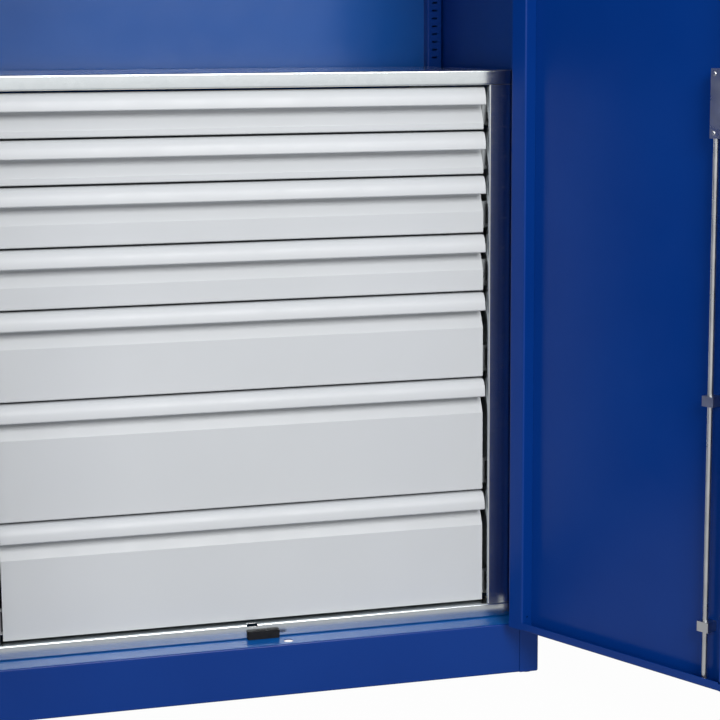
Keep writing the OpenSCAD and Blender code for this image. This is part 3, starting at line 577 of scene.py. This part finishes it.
def drawer_front(name):
    t = FRONT_SHEET
    low, high = box_in_mm(f"{name}_front")
    flat = low.y + GRIP_REACH
    recess = flat + RECESS_DEPTH
    section = [
        (recess + t, low.z, 0),
        (flat, low.z, FOOT_BEND),
        (flat, high.z - FLAT_DROP, SLANT_BEND),
        (recess, high.z - RECESS_DROP, WALL_BEND),
        (recess, high.z - t, LEDGE_BEND),
        *grip_line(low.y + t, high.z - t, high.z - GRIP_DROP + t / 2),
    ]
    bm = bmesh.new()
    fold(bm, section, low.x, high.x, t)
    finish_mesh(bm, FRONT_EDGE)
    make_piece(f"{name}_front_sheet", bm, grey_coat, "grey_paint", name, f"{name}_front")


for drawer in DRAWERS:
    drawer_front(drawer)

# %% [markdown]
# ## Door buffer
# The buffer is a moulded rubber block on the lip. A mould leaves soft edges all round and a wider
# round at the two front corners, so a block is bevelled twice: first its front corners, then the rest.

# %% Door buffer
BUFFER_CORNER, BUFFER_EDGE = 2.0, 0.6


def door_buffer():
    low, high = box_in_mm("door_buffer")
    bm = bmesh.new()
    bmesh.ops.create_cube(bm, size=1.0)
    bmesh.ops.scale(bm, vec=high - low, verts=bm.verts[:])
    front = [e for e in bm.edges if all(v.co.y < 0 for v in e.verts)]
    corners = [e for e in front if e.verts[0].co.x == e.verts[1].co.x]
    bmesh.ops.bevel(bm, geom=corners, offset=BUFFER_CORNER, offset_type="OFFSET", segments=6, profile=0.5,
                    affect="EDGES", material=-1)
    edges = [e for e in bm.edges if e.calc_face_angle(0.0) > SHARP]
    bmesh.ops.bevel(bm, geom=edges, offset=BUFFER_EDGE, offset_type="OFFSET", segments=3, profile=0.5,
                    affect="EDGES", material=-1)
    bmesh.ops.translate(bm, vec=(low + high) / 2, verts=bm.verts[:])
    finish_mesh(bm)
    make_piece("door_buffer_block", bm, black_rubber, "rubber", body_of_node["door_buffer"], "door_buffer")


door_buffer()

# %% [markdown]
# ## Turned pieces
# Hub, key barrel, hinge pins and screws are turned: half a section, spun once round its axis. Some
# of them face the front and some the back, so each is spun upright and then laid into its place.
# Pieces of the right door are drawn on the shut door and swung open about the hinge line. The
# frame's joints tell where that line is, how far the door is open and where the handle turns.

# %% Places on the right door
joints = {joint["name"]: joint for joint in frame["joints"]}
HINGE = Vector(joints["door_right_hinge"]["pos_m"]) / MM
DOOR_OPEN = -math.radians(joints["door_right_hinge"]["range_deg"][0])
SWING = Matrix.Rotation(DOOR_OPEN, 3, "Z")
LOCK = HINGE + SWING.inverted() @ (Vector(joints["handle_turn"]["pos_m"]) / MM - HINGE)


def swing_open(bm):
    bmesh.ops.rotate(bm, verts=bm.verts[:], cent=HINGE, matrix=SWING)


print("lock on the shut door at", tuple(round(c, 2) for c in LOCK))

# %% Lathe
UPRIGHT = Matrix.Identity(4)
TO_FRONT = Matrix(((1, 0, 0, 0), (0, 0, -1, 0), (0, 1, 0, 0), (0, 0, 0, 1)))
TO_BACK = Matrix(((-1, 0, 0, 0), (0, 0, 1, 0), (0, 1, 0, 0), (0, 0, 0, 1)))
TURN_STEPS = 48
ROUND_STEPS = 5
SEAM = 1e-4


def quarter():
    return [math.pi / 2 * i / ROUND_STEPS for i in range(ROUND_STEPS + 1)]


def rounding(r, h, radius):
    """Points of a rounded outer edge whose sharp corner would be at radius r and height h."""
    return [(r - radius + radius * math.cos(a), h - radius + radius * math.sin(a)) for a in quarter()]


def lathe(bm, profile, place, facing, steps=TURN_STEPS):
    before = set(bm.verts)
    chain = [bm.verts.new((r, 0.0, h)) for r, h in profile]
    lines = [bm.edges.new(pair) for pair in zip(chain, chain[1:])]
    bmesh.ops.spin(bm, geom=chain + lines, cent=(0, 0, 0), axis=(0, 0, 1), angle=math.tau, steps=steps,
                   use_merge=True)
    made = [v for v in bm.verts if v not in before]
    bmesh.ops.remove_doubles(bm, verts=made, dist=SEAM)
    made = [v for v in bm.verts if v not in before]
    bmesh.ops.transform(bm, matrix=Matrix.Translation(place) @ facing, verts=made)


print("lathe: steps of", 360 / TURN_STEPS, "degrees")

# %% [markdown]
# ### Slots in turned faces
# A key barrel and a slotted screw have a slot in their flat face. Two rings are drawn at the same
# height, the round rim and a long slot. They are bridged to a face, and the slot's ring is drawn
# down and closed. That leaves clean edges, where a boolean cut would leave slivers.

# %% Slotted heads
def slot_ring(bm, half_length, radius, height, segments):
    """A closed ring with straight sides: a circle whose halves are drawn apart."""
    ring = bmesh.ops.create_circle(bm, cap_ends=False, segments=segments, radius=radius)["verts"]
    bmesh.ops.rotate(bm, verts=ring, cent=(0, 0, 0), matrix=Matrix.Rotation(math.pi / segments, 3, "Z"))
    for v in ring:
        v.co.y += half_length if v.co.y > 0 else -half_length
        v.co.z = height
    return ring


def ring_edges(ring):
    members = set(ring)
    return [e for e in {e for v in ring for e in v.link_edges} if members.issuperset(e.verts)]


def slotted_head(bm, rim_r, height, half_length, half_width, depth):
    """A flat face at a height, with a slot sunk into it."""
    rim = slot_ring(bm, 0.0, rim_r, height, TURN_STEPS)
    slot = slot_ring(bm, half_length - half_width, half_width, height, TURN_STEPS)
    edges = ring_edges(slot)
    bmesh.ops.bridge_loops(bm, edges=ring_edges(rim) + edges)
    sunk = bmesh.ops.extrude_edge_only(bm, edges=edges)["geom"]
    low = [g for g in sunk if isinstance(g, bmesh.types.BMVert)]
    bmesh.ops.translate(bm, vec=(0, 0, -depth), verts=low)
    bmesh.ops.contextual_create(bm, geom=ring_edges(low))


def slotted_turning(bm, profile, slot, place, facing):
    """A turned piece whose last profile point is the rim of a slotted face."""
    part = bmesh.new()
    lathe(part, profile, (0, 0, 0), UPRIGHT)
    rim_r, height = profile[-1]
    slotted_head(part, rim_r, height, *slot)
    half_step = Matrix.Rotation(math.pi / TURN_STEPS, 3, "Z")
    bmesh.ops.rotate(part, verts=part.verts[:], cent=(0, 0, 0), matrix=half_step)
    bmesh.ops.transform(part, matrix=Matrix.Translation(place) @ facing, verts=part.verts[:])
    mesh = bpy.data.meshes.new("turned")
    part.to_mesh(mesh)
    part.free()
    bm.from_mesh(mesh)
    bpy.data.meshes.remove(mesh)


print("slots: rings of", TURN_STEPS, "points")

# %% [markdown]
# ### Handle plate
# The plate under the swivel handle is a long oval with a hole for the hub. Two rings, an oval and a
# circle, are bridged to a flat face, which is extruded to its thickness and rounded on its front.

# %% Handle plate
PLATE_HALF, PLATE_HEIGHT, PLATE_THICK = 18.0, 150.0, 5.0
PLATE_HOLE_R = 13.4
PLATE_ROUND = 1.6
PLATE_STEPS = 64


def handle_plate():
    bm = bmesh.new()
    outer = slot_ring(bm, 0.0, PLATE_HALF, 0.0, PLATE_STEPS)
    for v in outer:
        v.co.y -= 0.0 if v.co.y > 0 else PLATE_HEIGHT - 2 * PLATE_HALF
    inner = slot_ring(bm, 0.0, PLATE_HOLE_R, 0.0, PLATE_STEPS)
    flat = bmesh.ops.bridge_loops(bm, edges=ring_edges(outer) + ring_edges(inner))["faces"]
    raised = bmesh.ops.extrude_face_region(bm, geom=flat)["geom"]
    top = {g for g in raised if isinstance(g, bmesh.types.BMVert)}
    bmesh.ops.translate(bm, vec=(0, 0, PLATE_THICK), verts=list(top))
    bmesh.ops.recalc_face_normals(bm, faces=bm.faces[:])
    front = [e for e in bm.edges if e.calc_face_angle(0.0) > SHARP and top.issuperset(e.verts)]
    bmesh.ops.bevel(bm, geom=front, offset=PLATE_ROUND, offset_type="OFFSET", segments=4, profile=0.5,
                    affect="EDGES", material=-1)
    bmesh.ops.transform(bm, matrix=Matrix.Translation(LOCK) @ TO_FRONT, verts=bm.verts[:])
    swing_open(bm)
    finish_mesh(bm)
    make_piece("handle_plate_oval", bm, black_plastic, "black_plastic", body_of_node["handle_plate"],
               "handle_plate")


handle_plate()

# %% [markdown]
# ### Swivel handle
# The lever is a row of ellipses that are bridged one to the next: broad where it leaves the hub,
# slimmer towards its end, and closed by a few shrinking rings. The hub is turned, with a bore for
# the key barrel. They overlap inside, as a moulding flows from one into the other.

# %% Swivel handle
HUB_LENGTH, HUB_R, HUB_ROUND, HUB_GAP = 30.0, 13.0, 3.0, 0.4
BORE_R, BORE_DEPTH = 7.6, 14.5
BORE_EDGE, BORE_EDGE_DROP = 0.4, 0.6
LEVER_BACK = 8.4
LEVER_STEPS = 32
LEVER_RINGS = [
    (0.0, 6.8, 7.6), (9.0, 7.4, 9.2), (15.0, 7.2, 8.8), (24.0, 6.9, 8.0), (45.0, 6.6, 7.4), (75.0, 6.3, 6.9),
    (100.0, 6.1, 6.5), (109.0, 6.0, 6.4), (113.5, 5.4, 5.8), (116.5, 4.0, 4.3), (118.0, 1.8, 2.0),
]


def lever(bm, place):
    rings = []
    for along, half_depth, half_height in LEVER_RINGS:
        ring = bmesh.ops.create_circle(bm, cap_ends=False, segments=LEVER_STEPS, radius=1.0)["verts"]
        shape = Matrix(((0, 0, 1, along), (half_depth, 0, 0, 0), (0, half_height, 0, 0), (0, 0, 0, 1)))
        bmesh.ops.transform(bm, matrix=Matrix.Translation(place) @ shape, verts=ring)
        rings.append(ring)
    for near, far in zip(rings, rings[1:]):
        bmesh.ops.bridge_loops(bm, edges=ring_edges(near) + ring_edges(far))
    for ring in (rings[0], rings[-1]):
        bmesh.ops.contextual_create(bm, geom=ring_edges(ring))


def swivel_handle():
    bore_low = HUB_LENGTH - BORE_DEPTH
    hub = [(0.0, HUB_GAP), (HUB_R, HUB_GAP), *rounding(HUB_R, HUB_LENGTH, HUB_ROUND)]
    bore = [(BORE_R + BORE_EDGE, HUB_LENGTH), (BORE_R, HUB_LENGTH - BORE_EDGE_DROP), (BORE_R, bore_low),
            (0.0, bore_low)]
    bm = bmesh.new()
    lathe(bm, hub + bore, LOCK, TO_FRONT)
    lever(bm, LOCK - Vector((0, HUB_LENGTH - LEVER_BACK, 0)))
    swing_open(bm)
    finish_mesh(bm)
    make_piece("swivel_handle_lever", bm, black_plastic, "black_plastic", body_of_node["swivel_handle"],
               "swivel_handle")


swivel_handle()

# %% Key barrel
BARREL_R, BARREL_LENGTH, BARREL_ROUND = 7.5, 13.7, 0.5
BARREL_BACK = 14.0
KEY_SLOT = (4.5, 1.0, 5.0)


def key_barrel():
    sides = [(0.0, 0.0), (BARREL_R, 0.0), *rounding(BARREL_R, BARREL_LENGTH, BARREL_ROUND)]
    place = LOCK - Vector((0, HUB_LENGTH - BARREL_BACK, 0))
    bm = bmesh.new()
    slotted_turning(bm, sides, KEY_SLOT, place, TO_FRONT)
    swing_open(bm)
    finish_mesh(bm)
    make_piece("key_barrel_face", bm, chrome, "chrome", body_of_node["key_barrel"], "key_barrel")


key_barrel()

# %% [markdown]
# ### Hinge pins and lock screws
# A hinge pin is riveted over at both ends, so it ends in two low domes outside the knuckles. Its
# length is that of the hinge leaves. The lock case is held by four slotted screws.

# %% Hinge pins
PIN_R = 3.0
DOME_R, DOME_HIGH, DOME_GAP = 4.4, 2.2, 0.1
PIN_STEPS = 32


def hinge_pins():
    low, high = box_in_mm("hinge_leaves")
    length = high.z - low.z
    dome = [(DOME_R * math.cos(a), DOME_HIGH * math.sin(a) + DOME_GAP) for a in quarter()]
    foot = [(r, -h) for r, h in reversed(dome)]
    head = [(r, length + h) for r, h in dome]
    pin = foot + [(PIN_R, -DOME_GAP), (PIN_R, length + DOME_GAP)] + head
    bm = bmesh.new()
    for side in (-1, 1):
        lathe(bm, pin, (side * HINGE.x, HINGE.y, low.z), UPRIGHT, PIN_STEPS)
    finish_mesh(bm)
    make_piece("hinge_pin_rivets", bm, plated_steel, slot_of_node["hinge_pins"], body_of_node["hinge_pins"],
               "hinge_pins")


hinge_pins()

# %% Lock screws
SCREW_ACROSS, SCREW_BACK, SCREW_UP = 16.5, 23.5, 44.0
SCREW_HEAD = [(0.0, 0.0), (3.6, 0.0), (3.6, 0.5), (3.3, 1.2), (2.8, 1.6)]
SCREW_SLOT = (2.3, 0.4, 0.7)


def lock_screws():
    bm = bmesh.new()
    for side in (-1, 1):
        for end in (-1, 1):
            place = LOCK + Vector((side * SCREW_ACROSS, SCREW_BACK, end * SCREW_UP))
            slotted_turning(bm, SCREW_HEAD, SCREW_SLOT, place, TO_BACK)
    swing_open(bm)
    finish_mesh(bm)
    make_piece("lock_case_screws", bm, plated_steel, "plated_steel", body_of_node["lock_case"])


lock_screws()

# %% [markdown]
# ## The other sheets
# All other pieces keep their CAD shape. Their triangles come loose from the frame, so a copy is
# welded together and flat neighbours are joined; the shading is then smoothed over each bend. Zinc
# throws light on the back wall and on the top of the base pan, more than the lamps here do, so that
# light is painted into these two faces: they get lighter mixes of the blue.

# %% Weld and smooth the CAD pieces
WELD_REACH = 1e-6
FLAT_ANGLE = math.radians(0.2)
FACING_LEAST = 0.95


def weld_copy(node_name):
    bm = bmesh.new()
    bm.from_mesh(nodes[node_name].data)
    bmesh.ops.remove_doubles(bm, verts=bm.verts[:], dist=WELD_REACH)
    bmesh.ops.dissolve_limit(bm, angle_limit=FLAT_ANGLE, verts=bm.verts[:], edges=bm.edges[:])
    bmesh.ops.recalc_face_normals(bm, faces=bm.faces[:])
    return make_piece(f"{node_name}_piece", bm, finish_of_node[node_name], slot_of_node[node_name],
                      body_of_node[node_name], node_name)


def paint_light_on_faces(piece, facing, coat):
    """Paints light on the faces that look one way: they get a lighter mix of the blue coat."""
    piece.data.materials.append(coat)
    for polygon in piece.data.polygons:
        if polygon.normal.dot(Vector(facing)) > FACING_LEAST:
            polygon.material_index = 1


welded = {name: weld_copy(name) for name in nodes if name not in remade}
# Painted light: the back wall's inner face gets the lighter blue.
paint_light_on_faces(welded["rear_panel"], (0.0, -1.0, 0.0), blue_lit_back_wall)
# Painted light: the top of the base pan gets the lighter blue.
paint_light_on_faces(welded["base_pan"], (0.0, 0.0, 1.0), blue_lit_lip)
print("welded", len(welded), "CAD pieces")

# %% [markdown]
# ## Finish

# %% Finish
print("finished")
